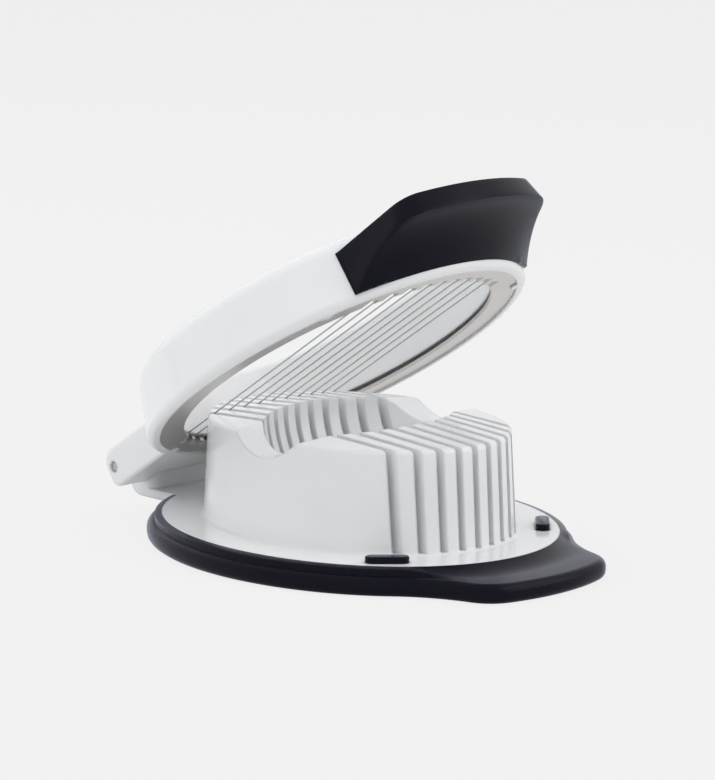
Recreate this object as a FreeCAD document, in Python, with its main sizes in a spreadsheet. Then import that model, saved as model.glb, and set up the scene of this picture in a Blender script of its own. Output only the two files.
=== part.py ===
import FreeCAD, Part
import math
import os

import Sketcher

# An egg slicer: a slotted cradle on an oval base, and a hinged lid that carries ten cutting wires.
# The frame has +X to the front lip, +Z up and its origin under the middle of the base plate.
# The lid pieces are drawn closed, about the hinge axis, and are placed at the opening angle.

WIRE_COUNT = 10

# Driving dimensions, in millimetres and degrees.
SIZES = {
    # Base plate
    "plate_half_length": 62.5,
    "plate_half_width": 49.8,
    "plate_top": 7.7,
    "plate_skin": 2.4,
    "skirt_wall": 2.0,
    # Egg cradle
    "cradle_half_length": 50.0,
    "cradle_half_width": 38.2,
    "cradle_height": 28.6,
    "cradle_taper": 1.6,
    "cradle_foot_radius": 1.2,
    "cradle_edge_radius": 1.4,
    "crown_rise": 2.2,
    "crown_half_length": 20.0,
    "crown_half_width": 14.0,
    "bowl_half_length": 22.5,
    "bowl_half_width": 30.0,
    "bowl_depth": 25.0,
    "bowl_centre_height": 29.8,
    "dip_depth": 7.6,
    "dip_half_width": 19.6,
    "dip_floor_radius": 16.0,
    "slot_width": 1.9,
    "slot_floor": 0.4,
    "wire_pitch": 5.2,
    "core_wall": 2.6,
    "core_height": 16.0,
    # Hinge bracket and pin
    "hinge_gap": 11.7,
    "hinge_height": 15.2,
    "bracket_half_width": 17.0,
    "bracket_foot_radius": 5.0,
    "bracket_corner_radius": 3.0,
    "barrel_radius": 5.2,
    "heel_radius": 1.2,
    "tongue_thickness": 2.7,
    "pin_radius": 1.6,
    "pin_recess": 0.5,
    "pin_edge_radius": 0.5,
    "pin_seat_gap": 0.02,
    "pin_running_gap": 0.06,
    "hinge_side_gap": 0.4,
    # Soft ring around the base
    "ring_width": 4.4,
    "ring_floor": 1.4,
    "ring_flange": 8.0,
    "ring_slope": 2.2,
    "ring_seat_gap": 0.05,
    "ring_edge_radius": 1.4,
    "lip_length": 12.5,
    "lip_setback": 16.9,
    "lip_corner_radius": 12.0,
    "lip_side_radius": 45.0,
    "lip_front_radius": 62.0,
    # Stop pads
    "stop_angle": 40.0,
    "stop_length": 12.0,
    "stop_width": 4.0,
    "stop_seat": 0.8,
    "stop_gap": 0.3,
    "stop_seat_gap": 0.05,
    "stop_edge_radius": 0.6,
    # Lid ring
    "rest_angle": 32.9,
    "lid_offset": 0.6,
    "lid_rise": 14.2,
    "lid_draft": 5.1,
    "lid_crown_radius": 5.0,
    "lid_foot_radius": 2.0,
    "lid_lip_radius": 1.2,
    "rim_wall": 3.9,
    "rim_depth": 0.5,
    "inner_wall": 1.3,
    "opening_end_gap": 1.3,
    "opening_side_gap": 5.6,
    "opening_step": 0.6,
    "ledge_width": 0.8,
    "channel_step": 1.4,
    "channel_height": 9.0,
    "hollow_width": 2.0,
    "hollow_height": 15.4,
    "snap_radius": 1.8,
    "snap_gap": 0.05,
    "snap_front_angle": 46.0,
    "snap_back_angle": 152.0,
    # Hinge arm of the lid
    "arm_half_width": 27.7,
    "arm_top": 5.5,
    "arm_end": 3.4,
    "arm_top_radius": 5.0,
    "arm_low_radius": 3.2,
    "arm_root": 33.0,
    "arm_edge_radius": 1.0,
    "web_gap": 1.0,
    # Wire plate and wires
    "band_width": 7.4,
    "band_thickness": 1.0,
    "band_drop": 5.4,
    "band_seat_gap": 0.1,
    "notch_width": 3.0,
    "tab_width": 2.4,
    "tab_thickness": 0.8,
    "tab_height": 2.2,
    "tab_gap": 0.3,
    "wire_radius": 0.22,
    "wire_slit_gap": 0.08,
    "bead_radius": 0.6,
    "bead_gap": 0.05,
    # Soft grip
    "grip_start": 18.6,
    "grip_low_inset": 22.1,
    "grip_high_inset": 24.3,
    "grip_low_side": 24.0,
    "grip_high_side": 21.0,
    "grip_low_angle": 1.3,
    "grip_high_angle": 13.0,
    "grip_corner_radius": 14.0,
    "grip_corner_end": 15.0,
    "grip_pivot": 10.0,
    "grip_reach": 16.4,
    "grip_root": 16.0,
    "grip_low": 4.1,
    "grip_under_radius": 25.0,
    "grip_tip_low": 6.8,
    "grip_tip_high": 13.0,
    "grip_tip_lean": 1.6,
    "grip_root_high": 7.4,
    "grip_seat_gap": 0.05,
    "core_reach": 10.0,
    "core_half_width": 17.0,
    "core_thickness": 2.0,
    "core_level": 8.6,
}

document = FreeCAD.newDocument("egg_slicer")
sheet = document.addObject("Spreadsheet::Sheet", "sizes")
for row, (alias, amount) in enumerate(SIZES.items(), start=1):
    sheet.set(f"A{row}", alias)
    sheet.set(f"B{row}", str(amount))
    sheet.setAlias(f"B{row}", alias)
document.recompute()

pieces = []


class Size:
    """A length that keeps its number and the sheet formula that it comes from."""

    def __init__(self, number, formula):
        self.number = number
        self.formula = formula

    def __add__(self, other):
        other = as_size(other)
        return Size(self.number + other.number, f"({self.formula} + {other.formula})")

    def __sub__(self, other):
        other = as_size(other)
        return Size(self.number - other.number, f"({self.formula} - {other.formula})")

    def __mul__(self, other):
        other = as_size(other)
        return Size(self.number * other.number, f"({self.formula} * {other.formula})")

    def __truediv__(self, other):
        other = as_size(other)
        return Size(self.number / other.number, f"({self.formula} / {other.formula})")

    def __neg__(self):
        return Size(-self.number, f"(0 - {self.formula})")


def as_size(amount):
    if isinstance(amount, Size):
        return amount
    return Size(float(amount), repr(float(amount)))


def size(alias):
    return Size(SIZES[alias], f"sizes.{alias}")


def root(amount):
    return Size(math.sqrt(amount.number), f"sqrt({amount.formula})")


def cosine(amount):
    return Size(math.cos(math.radians(amount.number)), f"cos({amount.formula} * 1deg)")


def sine(amount):
    return Size(math.sin(math.radians(amount.number)), f"sin({amount.formula} * 1deg)")


def half_chord(half_length, half_width, across):
    """Half the length of an oval where it is crossed at a distance from its long axis."""
    share = across / half_width
    return half_length * root(as_size(1) - share * share)


def bind(thing, name, amount):
    thing.setExpression(name, as_size(amount).formula)


def new_body(label, exported=True):
    body = document.addObject("PartDesign::Body", label)
    body.Label = label
    if exported:
        pieces.append(body)
    return body


def new_sketch(body, name, role, height=None):
    sketch = body.newObject("Sketcher::SketchObject", f"{body.Label}_{name}")
    base = [item for item in body.Origin.OriginFeatures if item.Role == role][0]
    sketch.AttachmentSupport = [(base, "")]
    sketch.MapMode = "FlatFace"
    if height is not None:
        bind(sketch, "AttachmentOffset.Base.z", height)
    return sketch


def constrain(sketch, amount, kind, *where):
    """Add a dimension whose value is a sheet formula."""
    index = sketch.addConstraint(Sketcher.Constraint(kind, *where, amount.number))
    sketch.setExpression(f"Constraints[{index}]", amount.formula)


def fix_point(sketch, edge, spot, across, along):
    """Place one point of an edge from the sketch origin; None puts it on the axis."""
    if across is None:
        sketch.addConstraint(Sketcher.Constraint("PointOnObject", edge, spot, -2))
    else:
        constrain(sketch, across, "DistanceX", -1, 1, edge, spot)
    if along is None:
        sketch.addConstraint(Sketcher.Constraint("PointOnObject", edge, spot, -1))
    else:
        constrain(sketch, along, "DistanceY", -1, 1, edge, spot)


def add_ellipse(sketch, half_length, half_width, centre=None):
    middle = 0.0 if centre is None else centre.number
    ends = [FreeCAD.Vector(middle + half_length.number, 0, 0), FreeCAD.Vector(middle, half_width.number, 0)]
    halves = [half_length, half_width]
    directions = ["Horizontal", "Vertical"]
    if half_width.number > half_length.number:
        ends.reverse()
        halves.reverse()
        directions.reverse()
    oval = Part.Ellipse(ends[0], ends[1], FreeCAD.Vector(middle, 0, 0))
    edge = sketch.addGeometry(oval, False)
    sketch.exposeInternalGeometry(edge)
    sketch.addConstraint(Sketcher.Constraint(directions[0], edge + 1))
    fix_point(sketch, edge, 3, centre, None)
    constrain(sketch, halves[0] * 2, "Distance", edge + 1)
    constrain(sketch, halves[1] * 2, "Distance", edge + 2)


def add_circle(sketch, radius, across=None, along=None):
    spot = FreeCAD.Vector(across.number if across else 0, along.number if along else 0, 0)
    edge = sketch.addGeometry(Part.Circle(spot, FreeCAD.Vector(0, 0, 1), radius.number), False)
    fix_point(sketch, edge, 3, across, along)
    constrain(sketch, radius, "Radius", edge)


def add_arc(sketch, start, end, radius, turn):
    """Add a short arc that turns left or right; return its edge and its first and last point."""
    chord = end - start
    reach = math.sqrt(max(radius.number ** 2 - (chord.Length / 2) ** 2, 0.0))
    across = FreeCAD.Vector(-chord.y, chord.x, 0).normalize()
    centre = (start + end) * 0.5 + across * (reach if turn == "left" else -reach)
    first, last = (start, end) if turn == "left" else (end, start)
    angles = [math.atan2(point.y - centre.y, point.x - centre.x) for point in (first, last)]
    circle = Part.Circle(centre, FreeCAD.Vector(0, 0, 1), radius.number)
    edge = sketch.addGeometry(Part.ArcOfCircle(circle, angles[0], angles[1]), False)
    constrain(sketch, radius, "Radius", edge)
    return (edge, 1, 2) if turn == "left" else (edge, 2, 1)


def add_outline(sketch, corners, bows=None):
    """Close a loop through the corners; bows gives a radius and a turn to the edges that are arcs."""
    bows = bows or {}
    points = [FreeCAD.Vector(across.number, along.number, 0) for across, along in corners]
    ends = []
    for number, start in enumerate(points):
        end = points[(number + 1) % len(points)]
        if number in bows:
            ends.append(add_arc(sketch, start, end, *bows[number]))
        else:
            ends.append((sketch.addGeometry(Part.LineSegment(start, end), False), 1, 2))
    for number, (edge, first, _) in enumerate(ends):
        before, _, last = ends[number - 1]
        sketch.addConstraint(Sketcher.Constraint("Coincident", before, last, edge, first))
        fix_point(sketch, edge, first, *corners[number])


def add_box(sketch, low, high):
    add_outline(sketch, [low, (high[0], low[1]), high, (low[0], high[1])])


def add_obround(sketch, length, width):
    """A bar with round ends, centred on the sketch origin."""
    straight = (length - width) / 2
    end = length / 2
    half = width / 2
    corners = [
        (-straight, -half),
        (straight, -half),
        (end, as_size(0)),
        (straight, half),
        (-straight, half),
        (-end, as_size(0)),
    ]
    add_outline(sketch, corners, {number: (half, "left") for number in (1, 2, 4, 5)})


def finish(body, feature):
    """Recompute and make sure that the feature came out whole."""
    body.Tip = feature
    if "Refine" in feature.PropertiesList:
        feature.Refine = False
    document.recompute()
    failed = "Invalid" in feature.State or "Error" in feature.State
    if failed or feature.Shape.isNull() or not feature.Shape.isValid():
        raise RuntimeError(f"{body.Label}: {feature.Name} failed")
    return feature


def pad(body, name, sketch, length, both=False, down=False):
    feature = body.newObject("PartDesign::Pad", f"{body.Label}_{name}")
    feature.Profile = sketch
    feature.SideType = "Symmetric" if both else "One side"
    feature.Reversed = down
    bind(feature, "Length", length)
    return finish(body, feature)


def cut(body, name, sketch, length, both=False, up=False):
    """Cut a sketch into the body and make sure that it took something away."""
    before = body.Shape.Volume
    feature = body.newObject("PartDesign::Pocket", f"{body.Label}_{name}")
    feature.Profile = sketch
    feature.SideType = "Symmetric" if both else "One side"
    feature.Reversed = up
    bind(feature, "Length", length)
    finish(body, feature)
    if feature.Shape.Volume >= before:
        raise RuntimeError(f"{body.Label}: {name} cuts nothing")
    return feature


def loft(body, name, low, high, kind="Additive"):
    feature = body.newObject(f"PartDesign::{kind}Loft", f"{body.Label}_{name}")
    feature.Profile = low
    feature.Sections = [high]
    feature.Ruled = True
    return finish(body, feature)


def join(body, name, other):
    """Fuse another body into this one."""
    feature = body.newObject("PartDesign::Boolean", f"{body.Label}_{name}")
    feature.Type = "Fuse"
    feature.setObjects([other])
    return finish(body, feature)


def round_edges(body, name, radius, chosen):
    """Fillet the edges of the body that the test picks."""
    base = body.Tip
    names = [f"Edge{number}" for number, edge in enumerate(base.Shape.Edges, start=1) if chosen(edge)]
    if not names:
        raise RuntimeError(f"{body.Label}: {name} finds no edge")
    feature = body.newObject("PartDesign::Fillet", f"{body.Label}_{name}")
    feature.Base = (base, names)
    bind(feature, "Radius", radius)
    return finish(body, feature)


def at_height(level, near=0.01):
    """A test for edges that lie flat at a height."""
    def test(edge):
        heights = [point.z for point in edge.discretize(5)]
        return max(abs(height - level.number) for height in heights) < near
    return test


def place_on_hinge(body, along=None):
    """Turn a lid piece about the hinge axis to the angle at which the lid stands."""
    axis = FreeCAD.Vector(0, -1, 0)
    body.Placement = FreeCAD.Placement(FreeCAD.Vector(), FreeCAD.Rotation(axis, SIZES["rest_angle"]))
    bind(body, "Placement.Base.x", -hinge_back)
    bind(body, "Placement.Base.z", size("hinge_height"))
    bind(body, "Placement.Rotation.Angle", size("rest_angle"))
    if along is not None:
        bind(body, "Placement.Base.y", along)


# Sizes that follow from the driving ones
hinge_back = size("plate_half_length") + size("hinge_gap")
tongue_bottom = size("plate_top") - size("tongue_thickness")
bracket_front = -(size("plate_half_length") + size("cradle_half_length")) / 2
cradle_top = size("plate_top") + size("cradle_height")
crown_top = cradle_top + size("crown_rise")
first_wire = size("wire_pitch") * ((1 - WIRE_COUNT) / 2)
wire_places = [first_wire + size("wire_pitch") * number for number in range(WIRE_COUNT)]
ring_half_length = size("plate_half_length") + size("ring_width")
ring_half_width = size("plate_half_width") + size("ring_width")
ring_side = size("plate_top") - size("ring_slope")

lid_centre = hinge_back + size("lid_offset")
opening_half_length = size("cradle_half_length") + size("opening_end_gap")
opening_half_width = size("cradle_half_width") + size("opening_side_gap")
band_half_length = opening_half_length + size("band_width")
band_half_width = opening_half_width + size("band_width")
lid_half_length = band_half_length + size("rim_wall")
lid_half_width = band_half_width + size("rim_wall")
rim_bottom = -(size("band_drop") + size("rim_depth"))
band_bottom = -size("band_drop")
band_top = band_bottom + size("band_thickness")
wire_level = band_top + size("bead_radius") + size("bead_gap")
inner_half_length = opening_half_length + size("opening_step")
inner_half_width = opening_half_width + size("opening_step")
channel_in_length = inner_half_length + size("inner_wall")
channel_in_width = inner_half_width + size("inner_wall")
channel_out_length = band_half_length - size("ledge_width")
channel_out_width = band_half_width - size("ledge_width")
web_back = size("barrel_radius") + size("web_gap")

stop_half_length = opening_half_length + size("band_width") / 2
stop_half_width = opening_half_width + size("band_width") / 2
stop_along = stop_half_length * cosine(size("stop_angle")) + size("lid_offset")
stop_across = stop_half_width * sine(size("stop_angle"))
stop_height = size("hinge_height") + band_bottom - size("stop_gap") - size("plate_top")
stop_slope = (stop_half_width * cosine(size("stop_angle"))) / (stop_half_length * sine(size("stop_angle")))
stop_turn = Size(math.degrees(math.atan(stop_slope.number)), f"atan({stop_slope.formula})")
stop_base = size("plate_top") - size("stop_seat")


def tab_place(across):
    """Where a hook tab stands, measured along the wire from the middle of the lid."""
    inside = half_chord(channel_in_length, channel_in_width, across - size("tab_width") / 2)
    return inside + size("tab_gap")


def build_base_moulding():
    """Oval plate, slotted cradle and hinge bracket in one moulding."""
    body = new_body("base_moulding")

    plate = new_sketch(body, "plate_outline", "XY_Plane", size("ring_floor"))
    add_ellipse(plate, size("plate_half_length"), size("plate_half_width"))
    pad(body, "plate", plate, size("plate_top") - size("ring_floor"))

    build_bracket(body)

    hollow = new_sketch(body, "hollow_outline", "XY_Plane", size("ring_floor"))
    hollow_length = size("plate_half_length") - size("skirt_wall")
    add_ellipse(hollow, hollow_length, size("plate_half_width") - size("skirt_wall"))
    hollow_depth = size("plate_top") - size("plate_skin") - size("ring_floor")
    cut(body, "hollow", hollow, hollow_depth, up=True)

    build_cradle(body)
    cut_cores(body)

    for name, side in (("near", -1), ("far", 1)):
        seat = new_sketch(body, f"stop_seat_{name}", "XY_Plane", size("plate_top"))
        bind(seat, "AttachmentOffset.Base.x", stop_along)
        bind(seat, "AttachmentOffset.Base.y", stop_across * side)
        bind(seat, "AttachmentOffset.Rotation.Angle", stop_turn * -side)
        room = size("stop_seat_gap") * 2
        add_obround(seat, size("stop_length") + room, size("stop_width") + room)
        cut(body, f"stop_recess_{name}", seat, size("stop_seat"))

    bore = new_sketch(body, "pin_bore_outline", "XZ_Plane")
    add_circle(bore, size("pin_radius") + size("pin_seat_gap"), -hinge_back, size("hinge_height"))
    cut(body, "pin_bore", bore, size("bracket_half_width") * 2 + 1, both=True)


def build_bracket(body):
    """Tongue that leaves the plate and rises to the hinge barrel, with a square heel as open stop."""
    profile = new_sketch(body, "bracket_profile", "XZ_Plane")
    back = -hinge_back - size("barrel_radius")
    barrel_front = size("barrel_radius") - hinge_back
    barrel_top = size("hinge_height") + size("barrel_radius")
    foot = size("bracket_foot_radius")
    heel = size("heel_radius")
    corners = [
        (bracket_front, tongue_bottom),
        (bracket_front, size("plate_top")),
        (barrel_front, size("plate_top")),
        (barrel_front, size("hinge_height")),
        (-hinge_back, barrel_top),
        (back + heel, barrel_top),
        (back, barrel_top - heel),
        (back, tongue_bottom + foot),
        (back + foot, tongue_bottom),
    ]
    bows = {3: (size("barrel_radius"), "left"), 5: (heel, "left"), 7: (foot, "left")}
    add_outline(profile, corners, bows)
    pad(body, "bracket", profile, size("bracket_half_width") * 2, both=True)

    radius = size("bracket_corner_radius")
    half = size("bracket_half_width")
    for name, side in (("near", -1), ("far", 1)):
        corner = new_sketch(body, f"bracket_corner_{name}", "XY_Plane", size("plate_top"))
        outline = [
            (barrel_front - radius, half * side),
            (barrel_front, (half - radius) * side),
            (barrel_front + 1, (half - radius) * side),
            (barrel_front + 1, (half + 1) * side),
            (barrel_front - radius, (half + 1) * side),
        ]
        add_outline(corner, outline, {0: (radius, "right" if side > 0 else "left")})
        cut(body, f"bracket_round_{name}", corner, barrel_top - size("plate_top") + 1, up=True)


def build_cradle(body):
    """Tapered oval block with a sloping crown, a bowl for the egg, finger dips and wire slots."""
    top_length = size("cradle_half_length") - size("cradle_taper")
    top_width = size("cradle_half_width") - size("cradle_taper")
    foot = new_sketch(body, "cradle_foot", "XY_Plane", size("plate_top"))
    add_ellipse(foot, size("cradle_half_length"), size("cradle_half_width"))
    shoulder = new_sketch(body, "cradle_shoulder", "XY_Plane", cradle_top)
    add_ellipse(shoulder, top_length, top_width)
    loft(body, "cradle_wall", foot, shoulder)

    crown_low = new_sketch(body, "crown_low", "XY_Plane", cradle_top)
    add_ellipse(crown_low, top_length, top_width)
    crown_high = new_sketch(body, "crown_high", "XY_Plane", crown_top)
    add_ellipse(crown_high, size("crown_half_length"), size("crown_half_width"))
    loft(body, "crown", crown_low, crown_high)

    round_edges(body, "cradle_edge", size("cradle_edge_radius"), at_height(cradle_top))
    foot_level = at_height(size("plate_top"))
    reach = size("cradle_half_length").number + 1
    round_edges(body, "cradle_root", size("cradle_foot_radius"), lambda edge: (
        foot_level(edge) and edge.Closed and edge.BoundBox.XMax < reach))

    cut_dips(body)

    slot = new_sketch(body, "slot_section", "YZ_Plane")
    half = size("slot_width") / 2
    add_box(slot, (first_wire - half, size("plate_top") + size("slot_floor")), (first_wire + half, crown_top + 1))
    slot_reach = size("cradle_half_length") + size("cradle_foot_radius") * 2
    first_slot = cut(body, "slot", slot, slot_reach * 2, both=True)
    slots = body.newObject("PartDesign::LinearPattern", "base_moulding_slots")
    slots.Originals = [first_slot]
    slots.Direction = (slot, ["H_Axis"])
    bind(slots, "Length", size("wire_pitch") * (WIRE_COUNT - 1))
    slots.Occurrences = WIRE_COUNT
    finish(body, slots)

    bowl = body.newObject("PartDesign::SubtractiveEllipsoid", "base_moulding_bowl")
    bowl.AttachmentSupport = [(body.Origin.OriginFeatures[3], "")]
    bowl.MapMode = "FlatFace"
    bowl.Angle1 = -90
    bowl.Angle2 = 90
    bowl.Angle3 = 360
    bind(bowl, "AttachmentOffset.Base.z", size("plate_top") + size("bowl_centre_height"))
    bind(bowl, "Radius1", size("bowl_depth"))
    bind(bowl, "Radius2", size("bowl_half_length"))
    bind(bowl, "Radius3", size("bowl_half_width"))
    finish(body, bowl)


def cut_dips(body):
    """One smooth scoop across both side walls, so that fingers can lift the egg out."""
    depth = size("dip_depth")
    half = size("dip_half_width")
    floor_radius = size("dip_floor_radius")
    # The floor arc and the two shoulder arcs share a tangent: their radii add up to this sum.
    radii = (half * half + depth * depth) / (depth * 2)
    share = floor_radius / radii
    floor = crown_top - depth
    bend_across = half * share
    bend_height = floor + depth * share
    shoulder_radius = radii - floor_radius
    above = crown_top + 1
    scoop = new_sketch(body, "dip_profile", "XZ_Plane")
    corners = [
        (-half, crown_top),
        (-bend_across, bend_height),
        (bend_across, bend_height),
        (half, crown_top),
        (half, above),
        (-half, above),
    ]
    bows = {
        0: (shoulder_radius, "right"),
        1: (floor_radius, "left"),
        2: (shoulder_radius, "right"),
    }
    add_outline(scoop, corners, bows)
    cut(body, "dips", scoop, size("cradle_half_width") * 2 + 2, both=True)


def cut_cores(body):
    """Hollows under the two solid side blocks, as moulded to an even wall."""
    wall = size("core_wall")
    inner = -first_wire + size("slot_width") / 2 + wall
    outer = size("cradle_half_width") - size("cradle_taper") - wall
    inner_half = half_chord(size("cradle_half_length"), size("cradle_half_width"), inner) - wall * 1.5
    outer_half = half_chord(size("cradle_half_length"), size("cradle_half_width"), outer) - wall * 1.5
    for name, side in (("near", -1), ("far", 1)):
        core = new_sketch(body, f"core_{name}_outline", "XY_Plane", size("plate_top") - size("plate_skin"))
        corners = [
            (-inner_half, inner * side),
            (inner_half, inner * side),
            (outer_half, outer * side),
            (-outer_half, outer * side),
        ]
        add_outline(core, corners)
        cut(body, f"core_{name}", core, size("core_height"), up=True)


def build_base_ring():
    """Soft ring around and under the plate, with the finger lip at the front."""
    body = new_body("base_ring")
    side = new_sketch(body, "side_outline", "XY_Plane")
    add_ellipse(side, ring_half_length, ring_half_width)
    pad(body, "side", side, ring_side)

    lip = new_sketch(body, "lip_outline", "XY_Plane")
    add_lip(lip)
    pad(body, "lip", lip, ring_side)

    slope_low = new_sketch(body, "slope_low", "XY_Plane", ring_side)
    add_ellipse(slope_low, ring_half_length, ring_half_width)
    slope_high = new_sketch(body, "slope_high", "XY_Plane", size("plate_top"))
    gap = size("ring_seat_gap")
    seat_length = size("plate_half_length") + gap
    seat_width = size("plate_half_width") + gap
    add_ellipse(slope_high, seat_length, seat_width)
    loft(body, "slope", slope_low, slope_high)

    round_edges(body, "bottom_edge", size("ring_edge_radius"), at_height(as_size(0)))

    seat = new_sketch(body, "seat_outline", "XY_Plane", size("plate_top"))
    add_ellipse(seat, seat_length, seat_width)
    cut(body, "seat", seat, size("plate_top") - size("ring_floor"))
    window = new_sketch(body, "window_outline", "XY_Plane", size("ring_floor"))
    flange = size("ring_flange")
    add_ellipse(window, size("plate_half_length") - flange, size("plate_half_width") - flange)
    cut(body, "window", window, size("ring_floor"))

    notch = new_sketch(body, "tongue_notch", "XZ_Plane")
    low = (-ring_half_length - 1, tongue_bottom - gap)
    high = (bracket_front, size("plate_top") + 1)
    add_box(notch, low, high)
    cut(body, "tongue_room", notch, (size("bracket_half_width") + gap) * 2, both=True)


def add_lip(sketch):
    """Plan of the lip: hollow sides that leave the ring smoothly, round corners and a bowed front."""
    side = size("lip_side_radius")
    bow = size("lip_front_radius")
    corner = size("lip_corner_radius")
    back = ring_half_length - size("lip_setback")
    half = half_chord(ring_half_width, ring_half_length, back)
    normal_along = back / (ring_half_length * ring_half_length)
    normal_across = half / (ring_half_width * ring_half_width)
    steep = root(normal_along * normal_along + normal_across * normal_across)
    side_along = back + side * normal_along / steep
    side_across = half + side * normal_across / steep
    bow_along = ring_half_length + size("lip_length") - bow

    bow_centre = FreeCAD.Vector(bow_along.number, 0, 0)
    side_centre = FreeCAD.Vector(side_along.number, side_across.number, 0)
    on_bow, on_side = touching_points(bow_centre, bow.number, side_centre, side.number, corner.number)
    points = [FreeCAD.Vector(back.number, half.number, 0), on_side, on_bow]
    points = [FreeCAD.Vector(point.x, -point.y, 0) for point in points] + points[::-1]
    turns = [(side, "right"), (corner, "left"), (bow, "left"), (corner, "left"), (side, "right")]
    ends = [add_arc(sketch, *points[number:number + 2], *turn) for number, turn in enumerate(turns)]
    ends.append((sketch.addGeometry(Part.LineSegment(points[-1], points[0]), False), 1, 2))
    for number, (edge, first, _) in enumerate(ends):
        before, _, last = ends[number - 1]
        kind = "Tangent" if 0 < number < len(turns) else "Coincident"
        sketch.addConstraint(Sketcher.Constraint(kind, before, last, edge, first))
    fix_point(sketch, ends[0][0], ends[0][1], back, -half)
    fix_point(sketch, ends[4][0], ends[4][2], back, half)
    fix_point(sketch, ends[2][0], 3, bow_along, None)
    for edge in (ends[0][0], ends[4][0]):
        constrain(sketch, side_along, "DistanceX", -1, 1, edge, 3)


def touching_points(bow_centre, bow, side_centre, side, corner):
    """Where a round corner inside one circle and outside another touches each of them."""
    way = side_centre - bow_centre
    inside = bow - corner
    outside = side + corner
    along = (way.Length ** 2 + inside ** 2 - outside ** 2) / (2 * way.Length)
    across = math.sqrt(inside ** 2 - along ** 2)
    unit = way.normalize()
    centre = bow_centre + unit * along + FreeCAD.Vector(unit.y, -unit.x, 0) * across
    on_bow = bow_centre + (centre - bow_centre) * (bow / inside)
    on_side = side_centre + (centre - side_centre) * (side / outside)
    return on_bow, on_side


def build_stop_pad(name, side):
    """Rubber pad in a recess of the plate, under the closed wire plate."""
    body = new_body(f"stop_pad_{name}")
    outline = new_sketch(body, "outline", "XY_Plane")
    add_obround(outline, size("stop_length"), size("stop_width"))
    height = stop_height + size("stop_seat")
    pad(body, "block", outline, height)
    round_edges(body, "top_edge", size("stop_edge_radius"), at_height(height))
    body.Placement = FreeCAD.Placement(FreeCAD.Vector(), FreeCAD.Rotation(FreeCAD.Vector(0, 0, 1), 1))
    bind(body, "Placement.Base.x", stop_along)
    bind(body, "Placement.Base.y", stop_across * side)
    bind(body, "Placement.Base.z", stop_base)
    bind(body, "Placement.Rotation.Angle", stop_turn * -side)


def build_hinge_pin():
    body = new_body("hinge_pin")
    section = new_sketch(body, "section", "XZ_Plane")
    add_circle(section, size("pin_radius"), -hinge_back, size("hinge_height"))
    length = (size("arm_half_width") - size("pin_recess")) * 2
    pad(body, "rod", section, length, both=True)
    round_edges(body, "ends", size("pin_edge_radius"), lambda edge: edge.Closed)


def build_lid_frame():
    """Ring moulding with a channel for the wire ends, the hinge arm and the core of the grip."""
    body = new_body("lid_frame")
    low = new_sketch(body, "wall_low", "XY_Plane", rim_bottom)
    add_ellipse(low, lid_half_length, lid_half_width, lid_centre)
    high = new_sketch(body, "wall_high", "XY_Plane", size("lid_rise"))
    draft = size("lid_draft")
    add_ellipse(high, lid_half_length - draft, lid_half_width - draft, lid_centre)
    loft(body, "wall", high, low)
    round_edges(body, "crown", size("lid_crown_radius"), at_height(size("lid_rise")))
    round_edges(body, "foot", size("lid_foot_radius"), at_height(rim_bottom))
    join(body, "arm", build_arm())
    cut_hinge(body)

    opening = new_sketch(body, "opening_outline", "XY_Plane", size("lid_rise"))
    add_ellipse(opening, inner_half_length, inner_half_width, lid_centre)
    cut(body, "opening", opening, size("lid_rise") - rim_bottom)
    reach = inner_half_length.number
    top_level = at_height(size("lid_rise"))
    round_edges(body, "opening_edge", size("lid_lip_radius"), lambda edge: (
        top_level(edge) and edge.BoundBox.XLength < 2 * reach + 1))

    rebate = new_sketch(body, "rebate_outline", "XY_Plane", rim_bottom)
    room = size("band_seat_gap")
    add_ellipse(rebate, band_half_length + room, band_half_width + room, lid_centre)
    cut(body, "rebate", rebate, band_top - rim_bottom, up=True)
    step = new_sketch(body, "step_outline", "XY_Plane", band_top)
    add_ellipse(step, channel_out_length, channel_out_width, lid_centre)
    cut(body, "step", step, size("channel_step"), up=True)
    channel = new_sketch(body, "channel_outline", "XY_Plane", band_top)
    add_ellipse(channel, channel_out_length, channel_out_width, lid_centre)
    add_ellipse(channel, channel_in_length, channel_in_width, lid_centre)
    cut(body, "channel", channel, size("channel_height"), up=True)
    hollow = new_sketch(body, "hollow_outline", "XY_Plane", band_top)
    hollow_width = size("hollow_width")
    add_ellipse(hollow, channel_in_length + hollow_width, channel_in_width + hollow_width, lid_centre)
    add_ellipse(hollow, channel_in_length, channel_in_width, lid_centre)
    cut(body, "hollow", hollow, size("hollow_height"), up=True)

    snaps = new_sketch(body, "snap_outline", "XY_Plane", rim_bottom)
    for angle in (size("snap_front_angle"), size("snap_back_angle")):
        for side in (-1, 1):
            along = lid_centre + band_half_length * cosine(angle)
            add_circle(snaps, size("snap_radius"), along, band_half_width * sine(angle) * side)
    pad(body, "snaps", snaps, size("rim_depth") - size("snap_gap"))

    core = new_sketch(body, "core_outline", "XY_Plane", size("core_level"))
    add_core(core, as_size(0))
    pad(body, "core", core, size("core_thickness"))
    place_on_hinge(body)


def build_arm():
    """Wide arm with rounded sides that carries the hinge."""
    body = new_body("lid_arm", exported=False)
    profile = new_sketch(body, "profile", "XZ_Plane")
    end = -size("arm_end")
    upper = size("arm_top_radius")
    lower = size("arm_low_radius")
    corners = [
        (size("arm_root"), rim_bottom),
        (size("arm_root"), size("arm_top")),
        (end + upper, size("arm_top")),
        (end, size("arm_top") - upper),
        (end, rim_bottom + lower),
        (end + lower, rim_bottom),
    ]
    add_outline(profile, corners, {2: (upper, "left"), 4: (lower, "left")})
    pad(body, "block", profile, size("arm_half_width") * 2, both=True)
    side = size("arm_half_width").number
    round_edges(body, "sides", size("arm_edge_radius"), lambda edge: (
        min(abs(point.y) for point in edge.discretize(5)) > side - 0.01))
    return body


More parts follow.
